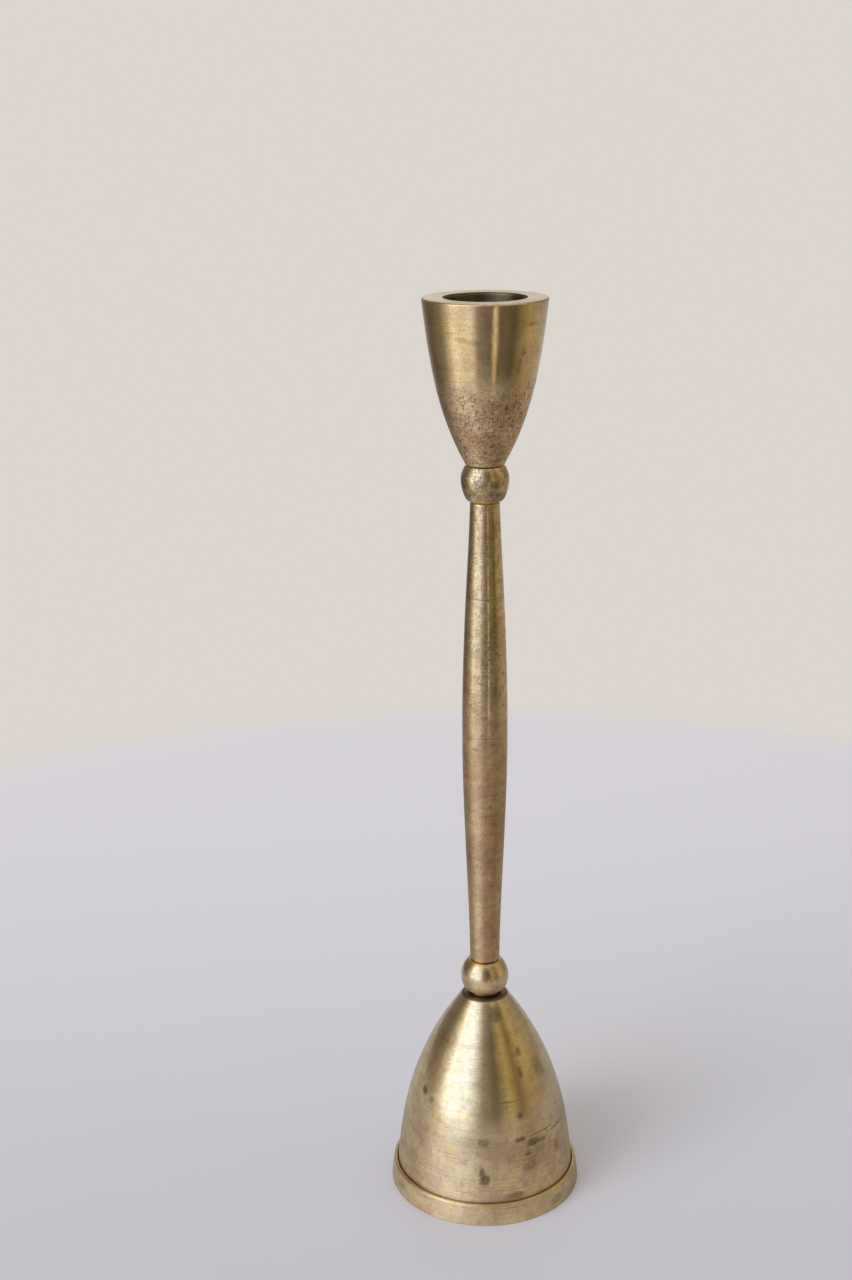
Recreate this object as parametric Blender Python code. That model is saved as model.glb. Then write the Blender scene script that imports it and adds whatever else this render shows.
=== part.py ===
"""Turned brass candlestick: a candle cup, two knops and a spindle stem, screwed onto a bell foot in a foot ring.

Every piece is a solid of revolution about the Z axis, apart from the hexagon nut and the split spring washer.
The origin is the middle of the face that the foot ring stands on.
"""

import math

import bmesh
import bpy
from mathutils import Matrix, Vector

# Heights above the table, in metres.
TOTAL_HEIGHT = 0.298
CUP_HEIGHT = 0.0504
UPPER_KNOP_HEIGHT = 0.0110
LOWER_KNOP_HEIGHT = 0.0116
CROWN_LEVEL = 0.0693
RING_HEIGHT = 0.0072
SEAM = 0.0003
EDGE_ROUND = 0.0004

# Candle cup.
RIM_RADIUS = 0.01915
CUP_FOOT_RADIUS = 0.0060
CUP_STRAIGHT_SHARE = 0.45
CUP_CURVE_POWER = 3.0
CUP_POINT_CROWDING = 1.4
SOCKET_MOUTH_RADIUS = 0.0127
SOCKET_FLOOR_RADIUS = 0.0113
SOCKET_DEPTH = 0.024

# Knops.
UPPER_KNOP_RADIUS = 0.0075
UPPER_KNOP_TOP_RADIUS = 0.0060
UPPER_KNOP_BOTTOM_RADIUS = 0.0058
UPPER_KNOP_CHAMFER = 0.0005
UPPER_KNOP_BELLY_SHARE = 0.6
LOWER_KNOP_RADIUS = 0.00785
LOWER_KNOP_CENTRE = 0.0752
LOWER_KNOP_HALF_HEIGHT = 0.0080
LOWER_KNOP_UNDERSIDE = 0.0711
LOWER_KNOP_UNDERSIDE_RADIUS = 0.0066
LOWER_KNOP_NECK_RADIUS = 0.0051

# Stem.
STEM_TOP_RADIUS = 0.0046
STEM_BELLY_RADIUS = 0.00725
STEM_BOTTOM_RADIUS = 0.00485
STEM_BELLY_LEVEL = 0.162
STEM_TOP_FULLNESS = 1.2
STEM_BOTTOM_FULLNESS = 1.6

# Bell foot.
BELL_RADIUS = 0.02950
CROWN_RADIUS = 0.0072
BELL_STRAIGHT_SHARE = 0.25
BELL_CURVE_POWER = 2.5
BELL_WALL = 0.0026
BELL_EDGE_LEVEL = 0.0045
CROWN_THICKNESS = 0.010
CROWN_SEAT_RADIUS = 0.0080

# Foot ring.
RING_RADIUS = 0.0317
RING_SHOULDER_RADIUS = 0.0309
RING_BORE_RADIUS = 0.0252
RING_LEDGE_LEVEL = 0.0042
RING_SHOULDER_ROUND = 0.0005
RING_FOOT_CHAMFER = 0.0002
RING_SIDE_BOW = 1.5

# Studs, nut and washers, for a 5 mm thread.
STUD_RADIUS = 0.0025
THREAD_HOLE_RADIUS = 0.0028
STUD_GRIP = 0.0125
HOLE_RUN_OUT = 0.0020
STUD_BELOW_NUT = 0.0035
NUT_ACROSS_FLATS = 0.008
NUT_HEIGHT = 0.0040
PLAIN_WASHER_RADIUS = 0.0066
PLAIN_WASHER_THICKNESS = 0.0010
SPRING_WASHER_RADIUS = 0.0046
SPRING_WASHER_THICKNESS = 0.0012
SPRING_WASHER_GAP_DEGREES = 14

# How finely the round pieces are cut around, and their curved outlines along.
LARGE_SEGMENTS = 60
SMALL_SEGMENTS = 32
FASTENER_SEGMENTS = 24
CUP_POINTS = 12
STEM_POINTS = 17
KNOP_POINTS = 9
BELL_POINTS = 14
BELL_INSIDE_POINTS = 9
RING_SIDE_POINTS = 4
WELD_DISTANCE = 0.000001
SHARP_ANGLE = math.radians(25)

# Levels that follow from the dimensions above.
CUP_FOOT = TOTAL_HEIGHT - CUP_HEIGHT
SOCKET_FLOOR = TOTAL_HEIGHT - SOCKET_DEPTH
UPPER_KNOP_TOP = CUP_FOOT - SEAM
UPPER_KNOP_BOTTOM = UPPER_KNOP_TOP - UPPER_KNOP_HEIGHT
STEM_TOP = UPPER_KNOP_BOTTOM - SEAM
LOWER_KNOP_BOTTOM = CROWN_LEVEL + SEAM
LOWER_KNOP_TOP = LOWER_KNOP_BOTTOM + LOWER_KNOP_HEIGHT
STEM_BOTTOM = LOWER_KNOP_TOP + SEAM
CROWN_SEAT = CROWN_LEVEL - CROWN_THICKNESS
PLAIN_WASHER_TOP = CROWN_SEAT - SEAM
SPRING_WASHER_TOP = PLAIN_WASHER_TOP - PLAIN_WASHER_THICKNESS - SEAM
NUT_TOP = SPRING_WASHER_TOP - SPRING_WASHER_THICKNESS - SEAM
NUT_BOTTOM = NUT_TOP - NUT_HEIGHT

# Each material's base colour, roughness and metallic value.
BRIGHT_BRASS = ((0.66, 0.52, 0.30), 0.30, 1.0)
SATIN_BRASS = ((0.60, 0.47, 0.29), 0.36, 1.0)
DULL_BRASS = ((0.56, 0.45, 0.31), 0.44, 1.0)
STEEL = ((0.45, 0.44, 0.42), 0.40, 1.0)


def mixed(start, end, share):
    """The value this share of the way from start to end."""
    return start + (end - start) * share


def shares(count):
    """Evenly spaced shares from 0 to 1, ends included."""
    return [step / (count - 1) for step in range(count)]


def arc(centre, radius, first_degrees, last_degrees, count):
    """Points (radius, level) on an arc about a centre in the outline's plane."""
    points = []
    for share in shares(count):
        angle = math.radians(mixed(first_degrees, last_degrees, share))
        points.append((centre[0] + radius * math.cos(angle), centre[1] + radius * math.sin(angle)))
    return points


def cup_radius(level):
    """Outside of the cup: a cone that curves in quickly at the foot and runs nearly straight to the rim."""
    rise = (level - CUP_FOOT) / CUP_HEIGHT
    curve = 1 - (1 - rise) ** CUP_CURVE_POWER
    return mixed(CUP_FOOT_RADIUS, RIM_RADIUS, mixed(curve, rise, CUP_STRAIGHT_SHARE))


def stem_radius(level):
    """Outside of the spindle: two cosine halves that meet at the belly."""
    if level > STEM_BELLY_LEVEL:
        reach = (level - STEM_BELLY_LEVEL) / (STEM_TOP - STEM_BELLY_LEVEL)
        end_radius, fullness = STEM_TOP_RADIUS, STEM_TOP_FULLNESS
    else:
        reach = (STEM_BELLY_LEVEL - level) / (STEM_BELLY_LEVEL - STEM_BOTTOM)
        end_radius, fullness = STEM_BOTTOM_RADIUS, STEM_BOTTOM_FULLNESS
    swell = max(math.cos(reach * math.pi / 2), 0.0) ** fullness
    return mixed(end_radius, STEM_BELLY_RADIUS, swell)


def bell_radius(level):
    """Outside of the bell: nearly upright at the ring and closing ever faster towards the crown."""
    rise = max((level - RING_HEIGHT) / (CROWN_LEVEL - RING_HEIGHT), 0.0)
    closing = mixed(rise**BELL_CURVE_POWER, rise, BELL_STRAIGHT_SHARE)
    return mixed(BELL_RADIUS, CROWN_RADIUS, closing)


def thread_hole(opening, end):
    """A blind hole from its opening to its end, with the cone that a drill leaves."""
    cone = THREAD_HOLE_RADIUS / 2 if end > opening else -THREAD_HOLE_RADIUS / 2
    return [(THREAD_HOLE_RADIUS, opening), (THREAD_HOLE_RADIUS, end), (0.0, end + cone)]


def finished_mesh(name, shape):
    """The mesh of a finished bmesh, with its faces turned outwards."""
    bmesh.ops.recalc_face_normals(shape, faces=shape.faces)
    mesh = bpy.data.meshes.new(name)
    shape.to_mesh(mesh)
    shape.free()
    return mesh


def turned_mesh(name, outline, segments):
    """Spins an outline of (radius, level) points about Z. One that doesn't start on the axis is a closed loop."""
    shape = bmesh.new()
    corners = [shape.verts.new((radius, 0.0, level)) for radius, level in outline]
    if outline[0][0] > 0.0:
        runs = zip(corners, corners[1:] + corners[:1])
    else:
        runs = zip(corners, corners[1:])
    edges = [shape.edges.new(run) for run in runs]
    bmesh.ops.spin(shape, geom=corners + edges, axis=(0, 0, 1), angle=math.tau, steps=segments, use_merge=True)
    bmesh.ops.remove_doubles(shape, verts=shape.verts, dist=WELD_DISTANCE)
    return finished_mesh(name, shape)


def material_of(name, look):
    """A Principled material with this look's colour, roughness and metallic value."""
    colour, roughness, metallic = look
    material = bpy.data.materials.new(name)
    material.use_nodes = True
    shader = material.node_tree.nodes["Principled BSDF"]
    shader.inputs["Base Color"].default_value = (*colour, 1.0)
    shader.inputs["Roughness"].default_value = roughness
    shader.inputs["Metallic"].default_value = metallic
    material.diffuse_color = (*colour, 1.0)
    return material


def add_piece(name, mesh, look):
    """Puts a mesh in the scene as one sub-part, shaded smooth between its sharp edges."""
    mesh.materials.append(material_of(name, look))
    mesh.shade_smooth()
    mesh.set_sharp_from_angle(angle=SHARP_ANGLE)
    piece = bpy.data.objects.new(name, mesh)
    bpy.context.scene.collection.objects.link(piece)
    return piece


def add_turned(name, outline, segments, look):
    return add_piece(name, turned_mesh(name, outline, segments), look)


def add_candle_cup():
    """Solid cup with a tapering socket above and a tapped hole for the stud below."""
    outside_top = TOTAL_HEIGHT - EDGE_ROUND
    outline = [(0.0, SOCKET_FLOOR), (SOCKET_FLOOR_RADIUS, SOCKET_FLOOR)]
    outline += [(SOCKET_MOUTH_RADIUS - EDGE_ROUND, TOTAL_HEIGHT - 2 * EDGE_ROUND)]
    outline += [(SOCKET_MOUTH_RADIUS, TOTAL_HEIGHT), (RIM_RADIUS - EDGE_ROUND, TOTAL_HEIGHT)]
    for share in shares(CUP_POINTS):
        level = mixed(outside_top, CUP_FOOT, 1 - (1 - share) ** CUP_POINT_CROWDING)
        outline.append((cup_radius(level), level))
    outline += thread_hole(CUP_FOOT, CUP_FOOT + STUD_GRIP + HOLE_RUN_OUT)
    return add_turned("candle_cup", outline, LARGE_SEGMENTS, BRIGHT_BRASS)


def add_upper_knop():
    """Bead with a flat top and a crisp chamfer at its bottom, bored through for the stud."""
    waist = UPPER_KNOP_BOTTOM + UPPER_KNOP_CHAMFER
    belly = mixed(UPPER_KNOP_BOTTOM, UPPER_KNOP_TOP, UPPER_KNOP_BELLY_SHARE)
    outline = [(THREAD_HOLE_RADIUS, UPPER_KNOP_TOP)]
    for share in shares(KNOP_POINTS // 2)[:-1]:
        level = mixed(UPPER_KNOP_TOP, belly, share)
        outline.append((mixed(UPPER_KNOP_RADIUS, UPPER_KNOP_TOP_RADIUS, (1 - share) ** 2), level))
    for share in shares(KNOP_POINTS // 2):
        level = mixed(belly, waist, share)
        outline.append((mixed(UPPER_KNOP_RADIUS, UPPER_KNOP_BOTTOM_RADIUS, share**2), level))
    outline.append((UPPER_KNOP_BOTTOM_RADIUS - UPPER_KNOP_CHAMFER, UPPER_KNOP_BOTTOM))
    outline.append((THREAD_HOLE_RADIUS, UPPER_KNOP_BOTTOM))
    return add_turned("upper_knop", outline, SMALL_SEGMENTS, SATIN_BRASS)


def add_stem():
    """Solid spindle with a tapped hole in each end."""
    reach = STUD_GRIP + HOLE_RUN_OUT
    outline = thread_hole(STEM_TOP, STEM_TOP - reach)[::-1]
    outline.append((STEM_TOP_RADIUS - EDGE_ROUND, STEM_TOP))
    for share in shares(STEM_POINTS):
        level = mixed(STEM_TOP - EDGE_ROUND, STEM_BOTTOM + EDGE_ROUND, share)
        outline.append((stem_radius(level), level))
    outline.append((STEM_BOTTOM_RADIUS - EDGE_ROUND, STEM_BOTTOM))
    outline += thread_hole(STEM_BOTTOM, STEM_BOTTOM + reach)
    return add_turned("stem", outline, SMALL_SEGMENTS, SATIN_BRASS)


def add_lower_knop():
    """Ball cut flat at both ends, with a narrow neck that stands on the crown of the bell."""
    def ball_radius(level):
        return LOWER_KNOP_RADIUS * math.sqrt(1 - ((level - LOWER_KNOP_CENTRE) / LOWER_KNOP_HALF_HEIGHT) ** 2)

    edge_level = LOWER_KNOP_UNDERSIDE + 2 * EDGE_ROUND
    outline = [(THREAD_HOLE_RADIUS, LOWER_KNOP_TOP)]
    for share in shares(KNOP_POINTS):
        level = mixed(LOWER_KNOP_TOP, edge_level, share)
        outline.append((ball_radius(level), level))
    outline.append((LOWER_KNOP_UNDERSIDE_RADIUS, LOWER_KNOP_UNDERSIDE))
    outline.append((LOWER_KNOP_NECK_RADIUS + EDGE_ROUND, LOWER_KNOP_UNDERSIDE - EDGE_ROUND))
    outline.append((LOWER_KNOP_NECK_RADIUS, LOWER_KNOP_UNDERSIDE - 2 * EDGE_ROUND))
    outline.append((LOWER_KNOP_NECK_RADIUS, LOWER_KNOP_BOTTOM))
    outline.append((THREAD_HOLE_RADIUS, LOWER_KNOP_BOTTOM))
    return add_turned("lower_knop", outline, SMALL_SEGMENTS, SATIN_BRASS)


def add_base_bell():
    """Hollow bell with a thick crown: its inside follows the outside at one wall thickness, up to the nut's seat."""
    edge_top = BELL_EDGE_LEVEL + EDGE_ROUND
    outline = [(THREAD_HOLE_RADIUS, CROWN_LEVEL), (CROWN_RADIUS - EDGE_ROUND, CROWN_LEVEL)]
    for share in shares(BELL_POINTS):
        level = mixed(CROWN_LEVEL - EDGE_ROUND, RING_HEIGHT, share)
        outline.append((bell_radius(level), level))
    outline.append((BELL_RADIUS, edge_top))
    outline.append((BELL_RADIUS - EDGE_ROUND, BELL_EDGE_LEVEL))
    outline.append((BELL_RADIUS - BELL_WALL, BELL_EDGE_LEVEL))
    inside_top = CROWN_SEAT - BELL_WALL
    for share in shares(BELL_INSIDE_POINTS):
        level = mixed(RING_HEIGHT, inside_top, share)
        outline.append((bell_radius(level + BELL_WALL / 2) - BELL_WALL, level))
    outline.append((CROWN_SEAT_RADIUS, CROWN_SEAT))
    outline.append((THREAD_HOLE_RADIUS, CROWN_SEAT))
    return add_turned("base_bell", outline, LARGE_SEGMENTS, DULL_BRASS)


def add_foot_ring():
    """Ring with a slightly bowed side, a rounded shoulder and a ledge that the bell's edge stands on."""
    round_centre = (RING_SHOULDER_RADIUS - RING_SHOULDER_ROUND, RING_HEIGHT - RING_SHOULDER_ROUND)
    rebate_radius = BELL_RADIUS + SEAM
    outline = [(RING_BORE_RADIUS, 0.0), (RING_RADIUS - RING_FOOT_CHAMFER, 0.0)]
    for share in shares(RING_SIDE_POINTS)[:-1]:
        level = mixed(RING_FOOT_CHAMFER, round_centre[1], share)
        outline.append((mixed(RING_RADIUS, RING_SHOULDER_RADIUS, share**RING_SIDE_BOW), level))
    outline += arc(round_centre, RING_SHOULDER_ROUND, 0, 90, RING_SIDE_POINTS)
    outline += [(rebate_radius, RING_HEIGHT), (rebate_radius, RING_LEDGE_LEVEL)]
    outline += [(RING_BORE_RADIUS, RING_LEDGE_LEVEL)]
    return add_turned("foot_ring", outline, LARGE_SEGMENTS, DULL_BRASS)


def add_stud(name, bottom, top):
    """Stud with chamfered ends, as wide as its thread's crests."""
    end_radius = STUD_RADIUS - EDGE_ROUND
    outline = [(0.0, bottom), (end_radius, bottom), (STUD_RADIUS, bottom + EDGE_ROUND)]
    outline += [(STUD_RADIUS, top - EDGE_ROUND), (end_radius, top), (0.0, top)]
    return add_turned(name, outline, FASTENER_SEGMENTS, STEEL)


def add_plain_washer():
    bottom = PLAIN_WASHER_TOP - PLAIN_WASHER_THICKNESS
    outline = [(THREAD_HOLE_RADIUS, bottom), (PLAIN_WASHER_RADIUS, bottom)]
    outline += [(PLAIN_WASHER_RADIUS, PLAIN_WASHER_TOP), (THREAD_HOLE_RADIUS, PLAIN_WASHER_TOP)]
    return add_turned("plain_washer", outline, FASTENER_SEGMENTS, STEEL)


def add_spring_washer():
    """Square-section ring with a cut through one side, drawn flat as it is when tight."""
    bottom = SPRING_WASHER_TOP - SPRING_WASHER_THICKNESS
    section = [(THREAD_HOLE_RADIUS, bottom), (SPRING_WASHER_RADIUS, bottom)]
    section += [(SPRING_WASHER_RADIUS, SPRING_WASHER_TOP), (THREAD_HOLE_RADIUS, SPRING_WASHER_TOP)]
    half_gap = math.radians(SPRING_WASHER_GAP_DEGREES / 2)
    start = Matrix.Rotation(half_gap, 3, "Z")
    shape = bmesh.new()
    corners = [shape.verts.new(start @ Vector((radius, 0.0, level))) for radius, level in section]
    first_end = shape.faces.new(corners)
    bmesh.ops.spin(
        shape, geom=[first_end], axis=(0, 0, 1), angle=math.tau - 2 * half_gap, steps=FASTENER_SEGMENTS
    )
    return add_piece("spring_washer", finished_mesh("spring_washer", shape), STEEL)


def add_hex_nut():
    """Hexagon cut out of a chamfered disc, with a clearance hole as wide as the thread."""
    corner_radius = NUT_ACROSS_FLATS / math.sqrt(3)
    face_radius = corner_radius - 2 * EDGE_ROUND
    outline = [(THREAD_HOLE_RADIUS, NUT_BOTTOM), (face_radius, NUT_BOTTOM)]
    outline += [(corner_radius, NUT_BOTTOM + EDGE_ROUND), (corner_radius, NUT_TOP - EDGE_ROUND)]
    outline += [(face_radius, NUT_TOP), (THREAD_HOLE_RADIUS, NUT_TOP)]
    nut = add_turned("hex_nut", outline, 2 * FASTENER_SEGMENTS, STEEL)
    bpy.ops.mesh.primitive_cylinder_add(vertices=6, radius=corner_radius * 1.001, depth=3 * NUT_HEIGHT)
    cutter = bpy.context.object
    cutter.name = "hexagon_guide"
    cutter.location.z = (NUT_BOTTOM + NUT_TOP) / 2
    cutter.hide_render = True
    cutter.display_type = "WIRE"
    cut = nut.modifiers.new("Hexagon", "BOOLEAN")
    cut.operation = "INTERSECT"
    cut.solver = "EXACT"
    cut.object = cutter
    return nut


def main():
    for leftover in list(bpy.data.objects):
        bpy.data.objects.remove(leftover)
    add_candle_cup()
    add_upper_knop()
    add_stud("upper_stud", STEM_TOP - STUD_GRIP, CUP_FOOT + STUD_GRIP)
    add_stem()
    add_lower_knop()
    add_stud("lower_stud", NUT_BOTTOM - STUD_BELOW_NUT, STEM_BOTTOM + STUD_GRIP)
    add_base_bell()
    add_foot_ring()
    add_plain_washer()
    add_spring_washer()
    add_hex_nut()


main()
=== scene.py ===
"""Detailed visual model of the turned brass candlestick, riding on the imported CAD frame.

Each brass piece takes its outline from its CAD node and is turned again with many more points, small rounded
corners and a slight hand-finished unevenness. The steel fastenings inside the foot get real threads, chamfers
and rounded corners. Metres throughout. +Z is up, and the candlestick's front faces -Y, towards the camera.
"""

import math

import bmesh
import bpy
import numpy as np
from mathutils import Matrix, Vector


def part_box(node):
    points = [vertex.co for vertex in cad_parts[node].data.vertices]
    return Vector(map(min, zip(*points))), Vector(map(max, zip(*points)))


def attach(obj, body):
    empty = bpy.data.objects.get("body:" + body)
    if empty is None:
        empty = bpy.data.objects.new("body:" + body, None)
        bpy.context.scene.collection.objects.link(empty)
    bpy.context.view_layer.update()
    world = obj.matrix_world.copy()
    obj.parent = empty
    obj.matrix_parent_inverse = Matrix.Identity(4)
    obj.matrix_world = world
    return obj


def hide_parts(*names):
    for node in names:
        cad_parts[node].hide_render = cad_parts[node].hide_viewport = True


# The camera: where it stands, how it is turned, its lens on a 36 mm sensor, and how near it sees.
CAMERA_PLACE = (0.0, -0.5550, 0.3622)
CAMERA_DOWN = math.radians(17.10)
CAMERA_LEFT = math.radians(1.91)
CAMERA_ROLL = math.radians(-0.53)
CAMERA_LENS = 52.0
CAMERA_NEAR = 0.01

# How finely the pieces are turned, how near to a plane a point has to be to lie on it, and how near to each
# other two points have to be to become one.
WIDE_SEGMENTS = 256
SLIM_SEGMENTS = 160
OUTLINE_STEP = 0.0005
ON_PLANE = 0.000002
WELD_DISTANCE = 0.0000001

# An outline has a corner where it turns by CORNER_ANGLE, or by CHAMFER_ANGLE between stretches of which one
# is CHAMFER_RATIO times as long as the other. Corners are rounded as far as CORNER_ROUND to each side.
CORNER_ANGLE = math.radians(33)
CHAMFER_ANGLE = math.radians(8)
CHAMFER_RATIO = 4
CORNER_ROUND = 0.00016
CORNER_STEPS = 4

# The waves that hand polishing leaves: how many, how long the shortest is, and the seed they are drawn from.
POLISH_WAVES = 28
POLISH_LENGTH = 0.008
SEED = 7

# Metals, as linear colours.
CLEAN_BRASS = (0.88, 0.70, 0.38)
TARNISHED_BRASS = (0.66, 0.49, 0.25)
TAN_BRASS = (0.76, 0.56, 0.29)
BROWN_BRASS = (0.58, 0.39, 0.20)
CUP_TAN = (0.94, 0.70, 0.37)
CUP_BROWN = (0.76, 0.52, 0.28)
STEM_TAN = (0.73, 0.515, 0.25)
STEM_BROWN = (0.56, 0.36, 0.175)
PALE_BRASS = (0.93, 0.735, 0.39)
PINK_BRASS = (0.78, 0.58, 0.345)
# Yellow brass, which also paints a glint in the seams at the joints.
YELLOW_BRASS = (0.90, 0.66, 0.20)
# Dark oxide, which also paints the shade on the bell's crown under the lower knop.
DARK_OXIDE = (0.14, 0.09, 0.05)
BROWN_STAIN = (0.36, 0.24, 0.13)
# Dark stain, which also paints a shade mark on the bell's crown below the lower knop.
DARK_STAIN = (0.25, 0.165, 0.09)
GOLD_STAIN = (0.54, 0.34, 0.13)
STEEL_LIGHT = (0.56, 0.55, 0.53)
STEEL_DARK = (0.20, 0.18, 0.16)

# How much of a brown film lies in the turning rings and on the insides.
RING_FILM = 0.25
INSIDE_FILM = 0.85

# How rough polished brass is and what each thing adds to that. Then how much brushing round the axis
# stretches a reflection, and which way.
POLISHED_ROUGHNESS = 0.18
PATTERN_ROUGHNESS = (("mottle", 0.16), ("grain", 0.15), ("rings", 0.12))
MATT_ROUGHNESS = 0.24
DIRT_ROUGHNESS = 0.15
INSIDE_ROUGHNESS = 0.25
BRUSHED = 0.8
BRUSHED_ROUND = 0.25

# How deep the bumps in the brass are.
WAVE_DEPTH = 0.00006
RING_DEPTH = 0.000003
PIT_DEPTH = 0.00003
GRAIN_DEPTH = 0.000006

# The scales of the patterns in the metal. A patch is about 1 / scale metres wide. Rings and scratches have a
# coarse scale across the axis and a fine one along it.
CLOUD_SCALE = 130.0
WAVE_SCALE = 140.0
MATT_EDGE_SCALE = 160.0
RUBBED_SCALE = 240.0
DIRT_SCALE = 300.0
MOTTLE_SCALE = 450.0
STAIN_SCALE = 900.0
GRAIN_SCALE = 2300.0
RING_SCALE = (25.0, 2600.0)
SCRATCH_SCALE = (60.0, 1700.0)
STEEL_CLOUD_SCALE = 300.0
STEEL_RING_SCALE = (300.0, 4000.0)

# Where a mark and a band stop being whole and where a mark ends, as shares of their half size. Then how the
# outline of a mark is pushed about, as a scale and a distance.
MARK_CORE = 0.45
MARK_EDGE = 1.30
BAND_CORE = 0.4
COARSE_RAGGED = (500.0, 0.0013)
FINE_RAGGED = (1800.0, 0.0005)

# The unpolished socket, just outside the CAD's, and how softly the unpolished insides begin.
SOCKET_MOUTH = 0.0127
SOCKET_DEPTH = 0.0245
SOCKET_FADE = 0.0004
FACING_FADE = 0.0020

# How far the stem is let down onto the lower knop, most of the way across the CAD's gap.
STEM_SETTLE = 0.0002

# The thread: its pitch, and as shares of it the studs' groove, the nut's thread and the nut's mouth. Then how
# steep the flanks of a groove are, and how wide its crest is.
THREAD_PITCH = 0.0008
STUD_GROOVE = 0.6
NUT_THREAD = 0.25
NUT_MOUTH = 0.3
FLANK_SLOPE = 1.25
CREST_WIDTH = 0.1

# The hole that the nut and the spring washer have in the CAD. Then, as shares of the nut's width, where its
# chamfers begin and where its corners are cut, and how round the washer's edges are as a share of its height.
NUT_HOLE = 0.0028
NUT_CHAMFER = 0.94
NUT_CORNER = 0.99
WASHER_ROUND = 0.15

# The table top, its colours near and far, and the plain wall behind it. The near and far colours are painted
# light and shade: the table is darker near the front and lighter far back.
TABLE_CENTRE = (0.005, 0.020)
TABLE_RADIUS = 0.450
TABLE_SOFT_EDGE = 0.026
TABLE_RINGS = 24
TABLE_SEGMENTS = 96
TABLE_NEAR_Y = -0.30
TABLE_FAR_Y = 0.45
TABLE_NEAR = (0.585, 0.58, 0.59)
TABLE_FAR = (0.83, 0.81, 0.79)
WALL_COLOUR = (0.708, 0.665, 0.617)

# What stands round the candlestick, as (degrees from the front towards +X, colour where a mirrored direction
# points down, colour where it points up).
SURROUNDINGS = (
    (-180, (0.62, 0.60, 0.60), (0.74, 0.70, 0.63)),
    (-172, (0.50, 0.47, 0.48), (0.50, 0.47, 0.46)),
    (-160, (0.34, 0.31, 0.32), (0.26, 0.25, 0.30)),
    (-142, (0.17, 0.14, 0.13), (0.21, 0.19, 0.23)),
    (-125, (0.13, 0.11, 0.09), (0.20, 0.17, 0.17)),
    (-108, (0.20, 0.17, 0.14), (0.17, 0.15, 0.13)),
    (-92, (0.28, 0.25, 0.22), (0.32, 0.29, 0.25)),
    (-78, (0.62, 0.59, 0.54), (0.80, 0.80, 0.82)),
    (-64, (1.10, 1.09, 1.13), (1.72, 1.86, 2.40)),
    (-46, (0.90, 0.88, 0.92), (1.50, 1.77, 2.62)),
    (-28, (0.88, 0.86, 0.90), (1.28, 1.52, 2.22)),
    (-15, (0.28, 0.25, 0.25), (0.75, 0.82, 1.05)),
    (-4, (0.21, 0.18, 0.19), (0.34, 0.31, 0.34)),
    (13, (0.15, 0.12, 0.12), (0.18, 0.155, 0.15)),
    (20, (0.95, 0.84, 0.66), (0.16, 0.13, 0.11)),
    (27, (0.14, 0.11, 0.09), (0.28, 0.24, 0.16)),
    (40, (0.13, 0.10, 0.08), (0.46, 0.41, 0.25)),
    (58, (0.10, 0.08, 0.06), (0.22, 0.175, 0.11)),
    (78, (0.30, 0.24, 0.15), (0.48, 0.41, 0.26)),
    (95, (0.42, 0.35, 0.23), (0.42, 0.35, 0.25)),
    (130, (0.44, 0.38, 0.33), (0.28, 0.25, 0.24)),
    (157, (0.50, 0.47, 0.48), (0.27, 0.25, 0.30)),
    (172, (0.60, 0.57, 0.58), (0.50, 0.47, 0.46)),
    (180, (0.62, 0.60, 0.60), (0.74, 0.70, 0.63)),
)
# Painted light and shade on the table, seen only in the metal's reflections: how light the table looks where
# the metal mirrors it, by the same degrees.
TABLE_IN_METAL = (
    (-180, 0.70), (-110, 0.80), (-80, 0.88), (-55, 1.15), (-30, 1.28), (0, 1.10),
    (25, 0.92), (45, 0.78), (70, 0.64), (120, 0.66), (180, 0.70),
)
# How high a direction points, as the sine of its elevation: where the second colour begins and has replaced
# the first, and where the ceiling begins and is whole.
BELOW_ELEVATION = -0.22
ABOVE_ELEVATION = -0.02
CEILING_BEGINS = 0.58
CEILING_WHOLE = 0.95
CEILING = (0.59, 0.575, 0.61)

# The soft lights, as (name, place, width, power, colour).
SOFT_LIGHTS = (
    ("window_light", (-1.3, -1.2, 1.1), 1.0, 12.0, (1.0, 0.98, 0.96)),
    ("ceiling_light", (0.2, 0.1, 2.0), 1.6, 8.0, (1.0, 0.98, 1.0)),
)


# ---------------------------------------------------------------- outlines

def outline_of(node):
    """The outline of a turned CAD node, as (radius, level) points where its mesh meets the +X half plane.

    Returns the points and whether they form a closed loop. The metal is always on the same hand of them.
    """
    mesh = node.data
    places = {}
    for vertex in mesh.vertices:
        if abs(vertex.co.y) < ON_PLANE and vertex.co.x > -ON_PLANE:
            places[vertex.index] = (round(vertex.co.x, 6), round(vertex.co.z, 6))
    near = {}
    for edge in mesh.edges:
        if all(index in places for index in edge.vertices):
            first, second = (places[index] for index in edge.vertices)
            if first != second:
                near.setdefault(first, set()).add(second)
                near.setdefault(second, set()).add(first)
    ends = [point for point, others in near.items() if len(others) == 1]
    path = [max(ends or near, key=lambda point: point[1])]
    while True:
        onward = sorted(point for point in near[path[-1]] if point not in path)
        if not onward:
            break
        path.append(onward[0])
    points = np.array(to_axis(path) if ends else path)
    turned = np.roll(points, -1, axis=0)
    area = np.sum(points[:, 0] * turned[:, 1] - turned[:, 0] * points[:, 1])
    if area < 0:
        points = points[::-1]
    return points, not ends


def to_axis(path):
    """The open path with both ends brought to the axis, across a flat end that has no corner there."""
    first, last = path[0], path[-1]
    start = [(0.0, first[1])] if first[0] > ON_PLANE else []
    end = [(0.0, last[1])] if last[0] > ON_PLANE else []
    return start + path + end


def turn_angle(before, here, after):
    """How sharply a line through three points turns at the middle one."""
    into, away = here - before, after - here
    cosine = np.dot(into, away) / (np.linalg.norm(into) * np.linalg.norm(away))
    return math.acos(max(-1.0, min(1.0, cosine)))


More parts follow.
